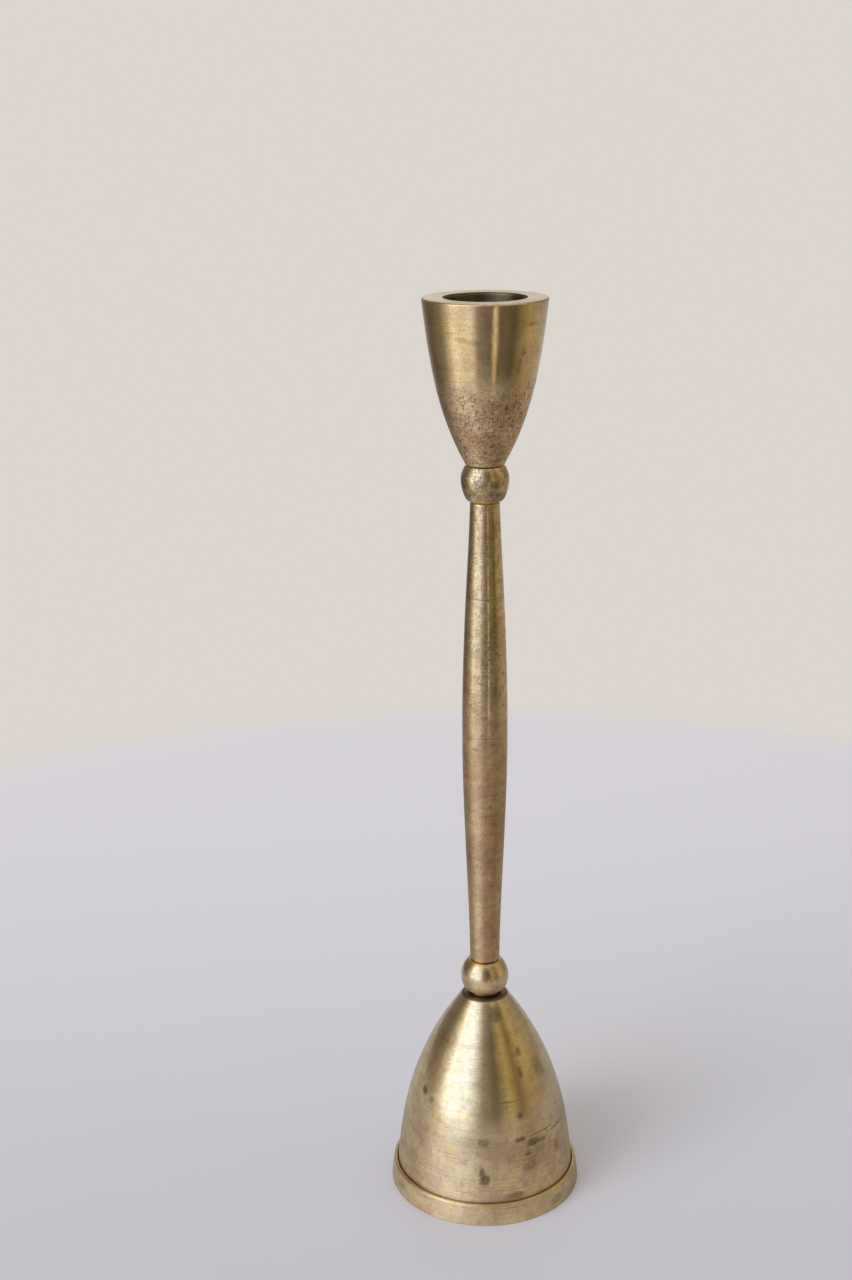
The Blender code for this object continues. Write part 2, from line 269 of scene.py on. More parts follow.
def smooth_run(run, step):
    """Points about one step apart on the smooth curve through a run of points. The last point is left out."""
    chords = np.diff(run, axis=0)
    lengths = np.linalg.norm(chords, axis=1)
    headings = chords / lengths[:, None]
    slopes = [headings[0]] * len(run)
    for i in range(1, len(run) - 1):
        along = headings[i - 1] * lengths[i] + headings[i] * lengths[i - 1]
        slopes[i] = along / np.linalg.norm(along)
    if len(run) > 2:
        slopes[0] = 2 * headings[0] - slopes[1]
        slopes[-1] = 2 * headings[-1] - slopes[-2]
    made = []
    for start, end, length, leave, arrive in zip(run, run[1:], lengths, slopes, slopes[1:]):
        count = max(1, round(length / step))
        for t in np.arange(count) / count:
            ease = t * t * (3 - 2 * t)
            swing = (leave * t * (1 - t) ** 2 - arrive * t**2 * (1 - t)) * length
            made.append(start + (end - start) * ease + swing)
    return made


def is_corner(before, here, after):
    """True where two stretches aren't one curve: at a sharp turn, or at a turn onto a short chamfer."""
    turn = turn_angle(before, here, after)
    one, other = np.linalg.norm(here - before), np.linalg.norm(after - here)
    uneven = max(one, other) > CHAMFER_RATIO * min(one, other)
    return turn > CORNER_ANGLE or (uneven and turn > CHAMFER_ANGLE)


def refined(points, closed, step):
    """The outline with smooth curved stretches, rounded corners and points about one step apart."""
    count = len(points)
    corners = []
    for i in range(count):
        at_end = not closed and i in (0, count - 1)
        if at_end or is_corner(points[i - 1], points[i], points[(i + 1) % count]):
            corners.append(i)
    line, sharp = [], []
    following = corners[1:] + ([corners[0] + count] if closed else [])
    for first, last in zip(corners, following):
        run = np.array([points[i % count] for i in range(first, last + 1)])
        made = smooth_run(run, step)
        line += made
        sharp += [True] + [False] * (len(made) - 1)
    if not closed:
        line.append(points[-1])
        sharp[0] = False
        sharp.append(False)
    return rounded(np.array(line), sharp)


def rounded(line, sharp):
    """The line with each sharp point replaced by a small curve."""
    made = []
    for i, here in enumerate(line):
        if not sharp[i]:
            made.append(here)
            continue
        before, after = line[i - 1] - here, line[(i + 1) % len(line)] - here
        reach_in, reach_out = np.linalg.norm(before), np.linalg.norm(after)
        cut = min(CORNER_ROUND, 0.4 * reach_in, 0.4 * reach_out)
        start, end = here + before * cut / reach_in, here + after * cut / reach_out
        for t in np.arange(CORNER_STEPS + 1) / CORNER_STEPS:
            made.append(start * (1 - t) ** 2 + here * 2 * t * (1 - t) + end * t**2)
    return np.array(made)


# ---------------------------------------------------------------- meshes

def hand_finish(depth, shortest, radius):
    """The smooth uneven depth that polishing leaves, from 0 to depth, as a function of (angle, level)."""
    draw = np.random.default_rng(SEED)
    waves = []
    for _ in range(POLISH_WAVES):
        length = shortest * draw.uniform(1.0, 4.0)
        tilt = draw.uniform(0, math.pi)
        around = round(math.tau * radius / length * math.cos(tilt))
        up = math.tau / length * math.sin(tilt)
        waves.append((around, up, draw.uniform(0, math.tau), length))

    def uneven(angle, level):
        total = np.zeros(np.broadcast(angle, level).shape)
        for around, up, phase, length in waves:
            total += length * np.sin(around * angle + up * level + phase)
        spread = sum(wave[3] for wave in waves) / 3
        return depth * np.clip(0.5 + 0.5 * total / spread, 0, 1)

    return uneven


def nick(angle_degrees, level, width, depth):
    """A small dent, as a function of (angle, level, radius). Its angle runs from the front towards +X."""
    middle = math.radians(angle_degrees)

    def dent(angle, height, radius):
        aside = (np.mod(angle - middle + math.pi, math.tau) - math.pi) * radius
        return depth * np.exp(-(aside**2 + (height - level) ** 2) / width**2)

    return dent


def turned_mesh(name, line, closed, segments, unevenness=None, nicks=()):
    """Turns an outline about Z. unevenness and nicks take a little off the radius."""
    angle = np.arange(segments) * math.tau / segments
    radius = np.repeat(line[:, :1], segments, axis=1)
    level = np.repeat(line[:, 1:], segments, axis=1)
    around = np.repeat(angle[None, :], len(line), axis=0)
    taken = np.zeros(radius.shape)
    if unevenness:
        taken += unevenness(around, level)
    for dent in nicks:
        taken += dent(around, level, radius)
    outward = np.where(radius > 10 * ON_PLANE, radius - taken, 0.0)
    corners = np.stack([outward * np.sin(around), -outward * np.cos(around), level], axis=-1)
    index = np.arange(len(line) * segments).reshape(len(line), segments)
    rows = index if closed else index[:-1]
    above = np.roll(index, -1, axis=0) if closed else index[1:]
    aside, above_aside = np.roll(rows, -1, axis=1), np.roll(above, -1, axis=1)
    faces = np.stack([rows, aside, above_aside, above], axis=-1).reshape(-1, 4).tolist()
    return welded_mesh(name, corners.reshape(-1, 3), faces)


def welded_mesh(name, corners, faces):
    """A mesh of these corners and faces, with doubled points joined and its faces turned outwards."""
    mesh = bpy.data.meshes.new(name)
    mesh.from_pydata(corners.tolist(), [], faces)
    shape = bmesh.new()
    shape.from_mesh(mesh)
    bmesh.ops.remove_doubles(shape, verts=shape.verts, dist=WELD_DISTANCE)
    bmesh.ops.recalc_face_normals(shape, faces=shape.faces)
    shape.to_mesh(mesh)
    shape.free()
    mesh.shade_smooth()
    return mesh


def threaded_mesh(name, low, high, pitch, segments=48, rows_per_turn=8):
    """A stud with a helical thread and coned ends. Its crests are as wide as the CAD stud."""
    crest = high.x
    depth = STUD_GROOVE * pitch
    rows = round((high.z - low.z) / pitch * rows_per_turn) + 1
    angle = np.arange(segments) * math.tau / segments
    level = np.linspace(low.z, high.z, rows)
    around, height = np.meshgrid(angle, level)
    phase = np.mod(height / pitch - around / math.tau, 1.0)
    groove = np.clip(FLANK_SLOPE * (1 - 2 * np.abs(phase - 0.5)) - CREST_WIDTH, 0, 1)
    from_end = np.minimum(height - low.z, high.z - height)
    cone = crest - depth + from_end
    radius = np.minimum(crest - depth * groove, cone)
    corners = np.stack([radius * np.sin(around), -radius * np.cos(around), height], axis=-1).reshape(-1, 3)
    middle = np.array([[0, 0, low.z], [0, 0, high.z]])
    index = np.arange(rows * segments).reshape(rows, segments)
    aside = np.roll(index, -1, axis=1)
    faces = np.stack([index[:-1], aside[:-1], aside[1:], index[1:]], axis=-1).reshape(-1, 4).tolist()
    for row, centre in ((0, len(corners)), (rows - 1, len(corners) + 1)):
        faces += [[index[row, i], aside[row, i], centre] for i in range(segments)]
    return welded_mesh(name, np.vstack([corners, middle]), faces)


def nut_mesh(name, low, high, hole, pitch, segments=192, rows=28):
    """A hexagon nut with chamfered corners and a threaded bore."""
    flat = high.x
    height = high.z - low.z
    angle = np.arange(segments) * math.tau / segments
    to_flat = np.mod(angle - math.pi / 6, math.pi / 3) - math.pi / 6
    hexagon = np.minimum(flat / np.cos(to_flat), high.y * NUT_CORNER)
    outside = []
    for share in np.linspace(0, 1, rows):
        level = low.z + height * share
        from_end = min(share, 1 - share) * height
        outside.append((np.minimum(hexagon, flat * NUT_CHAMFER + from_end * math.sqrt(3)), level))
    bore = []
    for share in np.linspace(1, 0, 3 * rows):
        level = low.z + height * share
        from_end = min(share, 1 - share) * height
        phase = np.mod(level / pitch - angle / math.tau, 1.0)
        thread = hole + NUT_THREAD * pitch * (1 - 2 * np.abs(phase - 0.5))
        bore.append((np.maximum(thread, hole + NUT_MOUTH * pitch - from_end), level))
    rings = outside + bore
    radius = np.array([ring[0] for ring in rings])
    level = np.array([[ring[1]] * segments for ring in rings])
    around = np.repeat(angle[None, :], len(rings), axis=0)
    corners = np.stack([radius * np.sin(around), -radius * np.cos(around), level], axis=-1)
    index = np.arange(len(rings) * segments).reshape(len(rings), segments)
    above, aside = np.roll(index, -1, axis=0), np.roll(index, -1, axis=1)
    faces = np.stack([index, aside, np.roll(above, -1, axis=1), above], axis=-1)
    return welded_mesh(name, corners.reshape(-1, 3), faces.reshape(-1, 4).tolist())


def spring_washer_mesh(name, low, high, hole, gap_degrees=14, segments=120, tilt=0.6):
    """A split square-section ring with rounded edges. Its cut faces +X and runs at a slant."""
    radius, height = high.y, high.z - low.z
    soft = WASHER_ROUND * height
    section = []
    for r, z, turn in ((radius, 0, -90), (radius, height, 0), (hole, height, 90), (hole, 0, 180)):
        centre_r = r - soft if r == radius else r + soft
        centre_z = z + soft if z == 0 else z - soft
        for onward in (0, 30, 60, 90):
            at = math.radians(turn + onward)
            section.append((centre_r + soft * math.cos(at), centre_z + soft * math.sin(at)))
    half_gap = math.radians(gap_degrees / 2)
    rings = []
    for share in np.linspace(0, 1, segments):
        turn = half_gap + share * (math.tau - 2 * half_gap)
        ring = []
        for r, z in section:
            at = turn + tilt * (z - height / 2) / radius
            ring.append((r * math.cos(at), r * math.sin(at), low.z + z))
        rings.append(ring)
    corners = np.array(rings)
    size = len(section)
    index = np.arange(segments * size).reshape(segments, size)
    around = np.roll(index, -1, axis=1)
    faces = np.stack([index[:-1], index[1:], around[1:], around[:-1]], axis=-1).reshape(-1, 4).tolist()
    ends = [index[0].tolist(), index[-1][::-1].tolist()]
    mesh = welded_mesh(name, corners.reshape(-1, 3), faces + ends)
    mesh.set_sharp_from_angle(angle=CORNER_ANGLE)
    return mesh


# ---------------------------------------------------------------- materials

class Nodes:
    """Short calls for adding and joining the nodes of one node tree."""

    def __init__(self, tree):
        self.tree = tree
        tree.nodes.clear()

    def add(self, kind, inputs=None, **settings):
        """Adds a node. Each input is given a number, a colour, or another node's output."""
        node = self.tree.nodes.new(kind)
        for name, value in settings.items():
            setattr(node, name, value)
        for name, value in (inputs or {}).items():
            self.put(node.inputs[name], value)
        return node

    def put(self, socket, value):
        if isinstance(value, bpy.types.NodeSocket):
            self.tree.links.new(value, socket)
        elif isinstance(value, tuple) and len(value) == 3 and socket.type == "RGBA":
            socket.default_value = (*value, 1.0)
        else:
            socket.default_value = value

    def math(self, operation, first, second=0.0):
        return self.add("ShaderNodeMath", {0: first, 1: second}, operation=operation).outputs[0]

    def plus(self, first, second):
        return self.math("ADD", first, second)

    def less(self, first, second):
        return self.math("SUBTRACT", first, second)

    def times(self, first, second):
        return self.math("MULTIPLY", first, second)

    def most(self, first, second):
        return self.math("MAXIMUM", first, second)

    def vector(self, operation, first, second=(0.0, 0.0, 0.0)):
        return self.add("ShaderNodeVectorMath", {0: first, 1: second}, operation=operation).outputs[0]

    def length(self, vector):
        return self.add("ShaderNodeVectorMath", {0: vector}, operation="LENGTH").outputs["Value"]

    def mix(self, share, first, second):
        """A colour that goes from the first to the second as share goes from 0 to 1."""
        node = self.add("ShaderNodeMix", data_type="RGBA")
        for name, value in ((0, share), (6, first), (7, second)):
            self.put(node.inputs[name], value)
        return node.outputs[2]

    def ramp(self, value, low, high, from_value=0.0, to_value=1.0):
        """A smooth step: from_value below low, and to_value above high."""
        inputs = {"Value": value, "From Min": low, "From Max": high, "To Min": from_value, "To Max": to_value}
        return self.add("ShaderNodeMapRange", inputs, interpolation_type="SMOOTHSTEP").outputs[0]

    def noise(self, place, scale, detail=3.0, roughness=0.55, distortion=0.0):
        """Cloudy noise from 0 to 1. Its patches are about 1/scale metres wide."""
        inputs = {"Vector": place, "Scale": scale, "Detail": detail, "Roughness": roughness}
        inputs["Distortion"] = distortion
        return self.add("ShaderNodeTexNoise", inputs).outputs["Fac"]

    def stretched(self, place, across, along):
        """The place with its level stretched, so that a noise of it runs in rings round the axis."""
        node = self.add("ShaderNodeMapping", {"Vector": place})
        node.inputs["Scale"].default_value = (across, across, along)
        return node.outputs[0]

    def warped(self, place, scale, reach):
        """The place pushed about by a noise, so that a pattern of it turns crooked."""
        cloud = self.add("ShaderNodeTexNoise", {"Vector": place, "Scale": scale}).outputs["Color"]
        shift = self.vector("SUBTRACT", cloud, (0.5, 0.5, 0.5))
        shift = self.vector("MULTIPLY", shift, (reach, reach, reach))
        return self.vector("ADD", place, shift)

    def marks(self, place, marks):
        """Ragged marks on the surface: 0 off them, and each one's strength in its middle.

        Each is (degrees from the front towards +X, radius, level, half width, half height, strength).
        """
        if marks:
            place = self.warped(self.warped(place, *COARSE_RAGGED), *FINE_RAGGED)
        whole = 0.0
        for angle, radius, level, width, height, strength in marks:
            mark = self.mark(place, math.radians(angle), radius, level, width, height)
            whole = self.most(whole, self.times(mark, strength))
        return whole

    def mark(self, place, angle, radius, level, width, height):
        """1 inside one mark on the surface and 0 outside it, with a soft edge."""
        centre = (radius * math.sin(angle), -radius * math.cos(angle), level)
        away = self.vector("SUBTRACT", place, centre)
        away = self.vector("MULTIPLY", away, (1 / width, 1 / width, 1 / height))
        return self.ramp(self.length(away), MARK_CORE, MARK_EDGE, 1.0, 0.0)


def brass_material(name, aging):
    """Aged turned brass. aging says where this piece is matt, pitted and stained, and where bright bands at
    the joints are partly worn brass and partly a painted glint in the seams.
    """
    material = bpy.data.materials.new(name)
    material.use_nodes = True
    n = Nodes(material.node_tree)
    coordinates = n.add("ShaderNodeTexCoord").outputs
    masks = brass_masks(n, coordinates["Object"], coordinates["Normal"], aging)
    inputs = {"Metallic": 1.0, "Base Color": brass_colour(n, coordinates["Object"], masks, aging)}
    inputs["Roughness"] = brass_roughness(n, masks)
    inputs["Normal"] = brass_bump(n, coordinates["Object"], masks)
    inputs["Anisotropic"] = BRUSHED
    inputs["Anisotropic Rotation"] = BRUSHED_ROUND
    inputs["Tangent"] = n.add("ShaderNodeTangent", direction_type="RADIAL", axis="Z").outputs[0]
    shader = n.add("ShaderNodeBsdfPrincipled", inputs)
    n.add("ShaderNodeOutputMaterial", {"Surface": shader.outputs[0]})
    return material


def brass_masks(n, place, normal, aging):
    """The patterns that a brass surface's colour, roughness and bump share, each from 0 to 1."""
    level = n.add("ShaderNodeSeparateXYZ", {0: place}).outputs[2]
    masks = {
        "clouds": n.noise(place, CLOUD_SCALE, 6.0, 0.62),
        "mottle": n.noise(place, MOTTLE_SCALE, 5.0, 0.70),
        "grain": n.noise(place, GRAIN_SCALE, 2.0, 0.6),
        "rings": n.noise(n.stretched(place, *RING_SCALE), 1.0, 3.0, 0.6),
        "scratches": n.ramp(n.noise(n.stretched(place, *SCRATCH_SCALE), 1.0, 1.0, 0.5), 0.68, 0.75),
        "stains": stain_mask(n, place, aging["stains"]),
        "inside": inside_mask(n, place, level, normal, aging),
    }
    drift = n.times(n.less(n.noise(place, MATT_EDGE_SCALE, 5.0, 0.65), 0.5), aging["matt_drift"])
    matt = n.ramp(n.plus(level, drift), aging["matt_top"], aging["matt_bottom"], 0.0, aging["matt_most"])
    masks["matt"] = matt
    dirt = n.plus(n.times(matt, aging["dirt_matt"]), aging["dirt_bright"])
    grime = grime_mask(n, place, dirt, aging["pit_scale"], aging["dirt_spread"])
    # The dark bands: thin rings on the stem, a band at the lower knop's foot, and painted shade on the bell's
    # crown under the lower knop.
    masks["grime"] = n.most(grime, band_mask(n, level, aging["dirt_bands"]))
    # Bright bands at the joints: partly worn brass, partly a painted glint that lifts the shade in the seams.
    rubbed = n.ramp(n.noise(place, RUBBED_SCALE, 3.0), 0.40, 0.58)
    masks["clean"] = n.times(band_mask(n, level, aging["clean_bands"]), rubbed)
    return masks


def brass_colour(n, place, masks, aging):
    """The colour, from the metal up to what lies on it."""
    clouds = masks["clouds"]
    colour = n.mix(n.ramp(clouds, 0.36, 0.62, 0.0, aging["tarnish"]), CLEAN_BRASS, TARNISHED_BRASS)
    worn = n.mix(n.ramp(clouds, 0.40, 0.60), aging["matt_light"], aging["matt_dark"])
    colour = n.mix(masks["matt"], colour, worn)
    films = (
        ("mottle", 0.47, 0.66, aging["mottle"], BROWN_STAIN),
        ("rings", 0.45, 0.75, RING_FILM, BROWN_STAIN),
        ("grain", 0.48, 0.68, aging["speckle"], BROWN_STAIN),
        ("grain", 0.44, 0.30, aging["speckle"], CLEAN_BRASS),
    )
    for pattern, begins, whole, most, film in films:
        colour = n.mix(n.ramp(masks[pattern], begins, whole, 0.0, most), colour, film)
    colour = n.mix(n.times(masks["scratches"], aging["scratches"]), colour, DARK_OXIDE)
    # Yellow bands at the joints: partly worn brass, partly a painted glint in the seams.
    colour = n.mix(masks["clean"], colour, YELLOW_BRASS)
    colour = n.mix(n.marks(place, aging["tints"]), colour, aging["tint_colour"])
    # Stain marks, with one mark of painted shade on the bell's crown.
    colour = n.mix(masks["stains"], colour, DARK_STAIN)
    # Dark pits, lines and bands; the band on the bell's crown is painted shade under the lower knop.
    colour = n.mix(n.times(masks["grime"], aging["dirt_dark"]), colour, DARK_OXIDE)
    return n.mix(n.times(masks["inside"], INSIDE_FILM), colour, aging["inside_colour"])


def brass_roughness(n, masks):
    """Rougher and smoother with the patterns, and rougher where the metal is matt, dirty or inside."""
    rough = POLISHED_ROUGHNESS
    for pattern, share in PATTERN_ROUGHNESS:
        rough = n.plus(rough, n.times(n.less(masks[pattern], 0.5), share))
    rough = n.plus(rough, n.times(masks["matt"], MATT_ROUGHNESS))
    rough = n.plus(rough, n.times(n.most(masks["stains"], masks["grime"]), DIRT_ROUGHNESS))
    return n.plus(rough, n.times(masks["inside"], INSIDE_ROUGHNESS))


def brass_bump(n, place, masks):
    """A soft waviness, rings, pits and grain, each with its depth in metres. Pits go inwards."""
    relief = (
        (n.noise(place, WAVE_SCALE, 2.0), WAVE_DEPTH),
        (masks["rings"], RING_DEPTH),
        (masks["grime"], -PIT_DEPTH),
        (masks["grain"], GRAIN_DEPTH),
    )
    normal = None
    for height, depth in relief:
        bump = n.add("ShaderNodeBump", {"Distance": abs(depth), "Height": height}, invert=depth < 0)
        if normal:
            n.put(bump.inputs["Normal"], normal)
        normal = bump.outputs[0]
    return normal


def inside_mask(n, place, level, normal, aging):
    """1 on surfaces that face the axis and in the socket, where nobody polishes, and 0 elsewhere."""
    from_axis = n.vector("MULTIPLY", place, (1.0, 1.0, 0.0))
    facing = n.add("ShaderNodeVectorMath", {0: from_axis, 1: normal}, operation="DOT_PRODUCT")
    inward = n.ramp(facing.outputs["Value"], 0.0, -FACING_FADE)
    if not aging["socket_radius"]:
        return inward
    radius, floor = aging["socket_radius"], aging["socket_floor"]
    socket = n.ramp(n.length(from_axis), radius, radius - SOCKET_FADE)
    socket = n.times(socket, n.ramp(level, floor - SOCKET_FADE, floor))
    return n.most(inward, socket)


def grime_mask(n, place, dirt, pit_scale, spread):
    """Pits and short crooked lines of dirt: more of them where dirt is near 1, and evener as spread grows."""
    room = n.times(n.ramp(n.noise(place, DIRT_SCALE, 5.0, 0.72), 0.38 - spread, 0.58 - spread), dirt)
    cells = n.add("ShaderNodeTexVoronoi", {"Vector": place, "Scale": pit_scale})
    pits = n.ramp(n.less(cells.outputs["Distance"], n.times(room, 0.34)), -0.10, 0.05, 1.0, 0.0)
    whole = n.times(pits, 0.5)
    for scale, strength in ((pit_scale / 2.5, 1.0), (pit_scale / 1.4, 0.8)):
        crooked = n.warped(place, scale * 0.8, 1.8 / scale)
        cells = n.add("ShaderNodeTexVoronoi", {"Vector": crooked, "Scale": scale}, feature="DISTANCE_TO_EDGE")
        lines = n.ramp(cells.outputs["Distance"], 0.03, 0.11, strength, 0.0)
        breaks = n.ramp(n.noise(place, scale * 0.8, 1.0), 0.44, 0.54)
        lines = n.times(lines, n.times(n.ramp(room, 0.15, 0.7), breaks))
        whole = n.most(whole, lines)
    return whole


def stain_mask(n, place, stains):
    """Stain marks and painted shade marks at chosen places, with broken edges: 0 off them, and each one's
    strength in its middle.
    """
    broken = n.ramp(n.noise(place, STAIN_SCALE, 4.0, 0.7), 0.36, 0.58, 0.7, 1.0)
    return n.times(n.marks(place, stains), broken)


def band_mask(n, level, bands):
    """Bands round the piece, as (level, half width, strength): 0 off them, and strength in their middle."""
    whole = 0.0
    for height, half_width, strength in bands:
        away = n.math("ABSOLUTE", n.less(level, height))
        whole = n.most(whole, n.ramp(away, half_width * BAND_CORE, half_width, strength, 0.0))
    return whole


def steel_material(name):
    """Plain machined steel with a brown film and fine turning marks."""
    material = bpy.data.materials.new(name)
    material.use_nodes = True
    n = Nodes(material.node_tree)
    place = n.add("ShaderNodeTexCoord").outputs["Object"]
    clouds = n.noise(place, STEEL_CLOUD_SCALE, 5.0, 0.65)
    marks = n.noise(n.stretched(place, *STEEL_RING_SCALE), 1.0, 2.0)
    colour = n.mix(n.ramp(clouds, 0.42, 0.70), STEEL_LIGHT, STEEL_DARK)
    rough = n.ramp(clouds, 0.30, 0.75, 0.30, 0.55)
    bump = n.add("ShaderNodeBump", {"Strength": 0.7, "Distance": 0.000006, "Height": marks})
    shader = n.add("ShaderNodeBsdfPrincipled", {"Base Color": colour, "Roughness": rough, "Metallic": 1.0})
    n.put(shader.inputs["Normal"], bump.outputs[0])
    n.add("ShaderNodeOutputMaterial", {"Surface": shader.outputs[0]})
    return material


def aged(**changes):
    """How a brass piece has aged, with anything not named left at the usual values.

    The matt zone begins at the level matt_top and is whole at matt_bottom, and matt_drift is how far its edge
    wanders. Dirt is dirt_bright on polished metal, and dirt_matt more than that on matt metal. The dark bands
    are thin rings and dark joints, and on the bell's crown painted shade under the lower knop; the dirt
    darkness sets how dark all of them are. Stains and tints are listed as in Nodes.marks, and one bell stain
    mark is painted shade. Bands are listed as in band_mask; the bright bands at the joints are partly worn
    brass and partly a painted glint in the seams.
    """
    usual = {
        "tarnish": 0.85, "mottle": 0.5, "speckle": 0.45, "scratches": 0.3,
        "matt_top": 0.0, "matt_bottom": -0.01, "matt_most": 1.0, "matt_drift": 0.016,
        "matt_light": TAN_BRASS, "matt_dark": BROWN_BRASS,
        "dirt_matt": 0.8, "dirt_bright": 0.15, "dirt_dark": 0.85, "dirt_spread": 0.0, "pit_scale": 2400.0,
        "dirt_bands": (), "clean_bands": (), "stains": (), "tints": (), "tint_colour": YELLOW_BRASS,
        "socket_radius": 0.0, "socket_floor": 0.0, "inside_colour": BROWN_STAIN,
    }
    usual.update(changes)
    return usual


# ---------------------------------------------------------------- pieces

def add_piece(name, mesh, material, node):
    """Puts a finished mesh in the scene in the place of a CAD node."""
    mesh.materials.append(material)
    piece = bpy.data.objects.new(name, mesh)
    bpy.context.scene.collection.objects.link(piece)
    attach(piece, "root")
    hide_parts(node)
    return piece


def add_turned(name, node, segments, depth, aging, nicks=(), settle=0.0):
    """A brass piece turned again from its CAD node's outline, with its foot let down by settle."""
    points, closed = outline_of(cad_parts[node])
    foot = points[:, 1] < points[:, 1].min() + ON_PLANE
    points[foot, 1] -= settle
    line = refined(points, closed, OUTLINE_STEP)
    unevenness = hand_finish(depth, POLISH_LENGTH, float(points[:, 0].max()))
    mesh = turned_mesh(name, line, closed, segments, unevenness, nicks)
    return add_piece(name, mesh, brass_material(name, aging), node)


def add_cup():
    low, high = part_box("candle_cup")
    height = high.z - low.z
    aging = aged(
        matt_top=low.z + 0.60 * height, matt_bottom=low.z + 0.32 * height,
        matt_light=CUP_TAN, matt_dark=CUP_BROWN, tarnish=0.65, mottle=0.25,
        dirt_matt=1.0, dirt_dark=0.74, dirt_spread=0.03, pit_scale=2100.0,
        tints=(
            (-23, 0.0178, high.z - 0.0106, 0.0026, 0.0010, 0.75),
            (-12, 0.0178, high.z - 0.0112, 0.0026, 0.0011, 0.7),
            (-26, 0.0178, high.z - 0.0062, 0.0020, 0.0007, 0.4),
            (10, 0.0168, high.z - 0.0205, 0.0016, 0.0050, 0.5),
            (-20, 0.0102, low.z + 0.0088, 0.0050, 0.0060, 0.4),
            (12, 0.0090, low.z + 0.0060, 0.0060, 0.0060, 0.4),
            (44, 0.0160, high.z - 0.0240, 0.0040, 0.0080, 0.3),
        ),
        tint_colour=GOLD_STAIN,
        stains=(
            (41, 0.0172, high.z - 0.0145, 0.0012, 0.0014, 0.6),
            (38, 0.0168, high.z - 0.0172, 0.0008, 0.0012, 0.6),
            (36, 0.0164, high.z - 0.0200, 0.0011, 0.0014, 0.6),
            (49, 0.0183, high.z - 0.0065, 0.0022, 0.0008, 0.4),
        ),
        # Bright band at the joint: partly worn brass, partly a painted glint in the seam.
        clean_bands=((low.z, 0.0006, 0.8),),
        socket_radius=SOCKET_MOUTH, socket_floor=high.z - SOCKET_DEPTH, inside_colour=DARK_OXIDE,
    )
    nicks = (
        nick(2, high.z, 0.0008, 0.00012),
        nick(-31, high.z, 0.0006, 0.00008),
        nick(118, high.z, 0.0009, 0.00015),
        nick(205, high.z, 0.0007, 0.00010),
    )
    add_turned("turned_candle_cup", "candle_cup", WIDE_SEGMENTS, 0.00003, aging, nicks)


def add_knops():
    low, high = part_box("upper_knop")
    aging = aged(
        matt_top=low.z + 0.0050, matt_bottom=low.z + 0.0022, matt_drift=0.004,
        dirt_matt=0.7, dirt_bright=0.6, mottle=0.75,
        # Bright bands at the joints: partly worn brass, partly a painted glint in the seams.
        clean_bands=((high.z, 0.0010, 0.9), (low.z, 0.0005, 0.6)),
        stains=((-12, 0.0075, low.z + 0.0058, 0.0005, 0.0004, 0.9),),
    )
    add_turned("turned_upper_knop", "upper_knop", SLIM_SEGMENTS, 0.00002, aging)
    low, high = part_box("lower_knop")
    aging = aged(
        matt_top=low.z + 0.0046, matt_bottom=low.z + 0.0022, matt_drift=0.002,
        dirt_matt=0.1, dirt_bright=0.05, tarnish=1.0,
        # Bright band at the joint: partly worn brass, partly a painted glint in the seam.
        clean_bands=((high.z, 0.0012, 0.8),),
        # A dark band round the knop's foot, at the joint with the bell.
        dirt_bands=((low.z, 0.0009, 0.6),),
    )
    add_turned("turned_lower_knop", "lower_knop", SLIM_SEGMENTS, 0.00001, aging)


def add_stem():
    low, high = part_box("stem")
    height = high.z - low.z
    aging = aged(
        matt_top=low.z + 0.62 * height, matt_bottom=low.z + 0.42 * height, matt_drift=0.03,
        matt_light=STEM_TAN, matt_dark=STEM_BROWN, scratches=0.4,
        dirt_matt=-0.42, dirt_bright=0.5, dirt_spread=0.02,
        # Bright bands at the joints: partly worn brass, partly a painted glint in the seams.
        clean_bands=((high.z, 0.0008, 0.8), (low.z, 0.0006, 0.7)),
        dirt_bands=((high.z - 0.194 * height, 0.0002, 0.8), (high.z - 0.304 * height, 0.0002, 0.35)),
        stains=(
            (30, 0.0060, high.z - 0.0170, 0.0007, 0.0060, 0.7),
            (38, 0.0056, high.z - 0.0080, 0.0012, 0.0040, 0.5),
            (26, 0.0070, high.z - 0.0600, 0.0008, 0.0016, 0.7),
            (-12, 0.0071, high.z - 0.0570, 0.0014, 0.0004, 0.6),
            (-24, 0.0071, high.z - 0.0790, 0.0014, 0.0005, 0.7),
            (15, 0.0068, low.z + 0.0560, 0.0005, 0.0005, 0.8),
        ),
    )
    add_turned("turned_stem", "stem", SLIM_SEGMENTS, 0.00003, aging, settle=STEM_SETTLE)


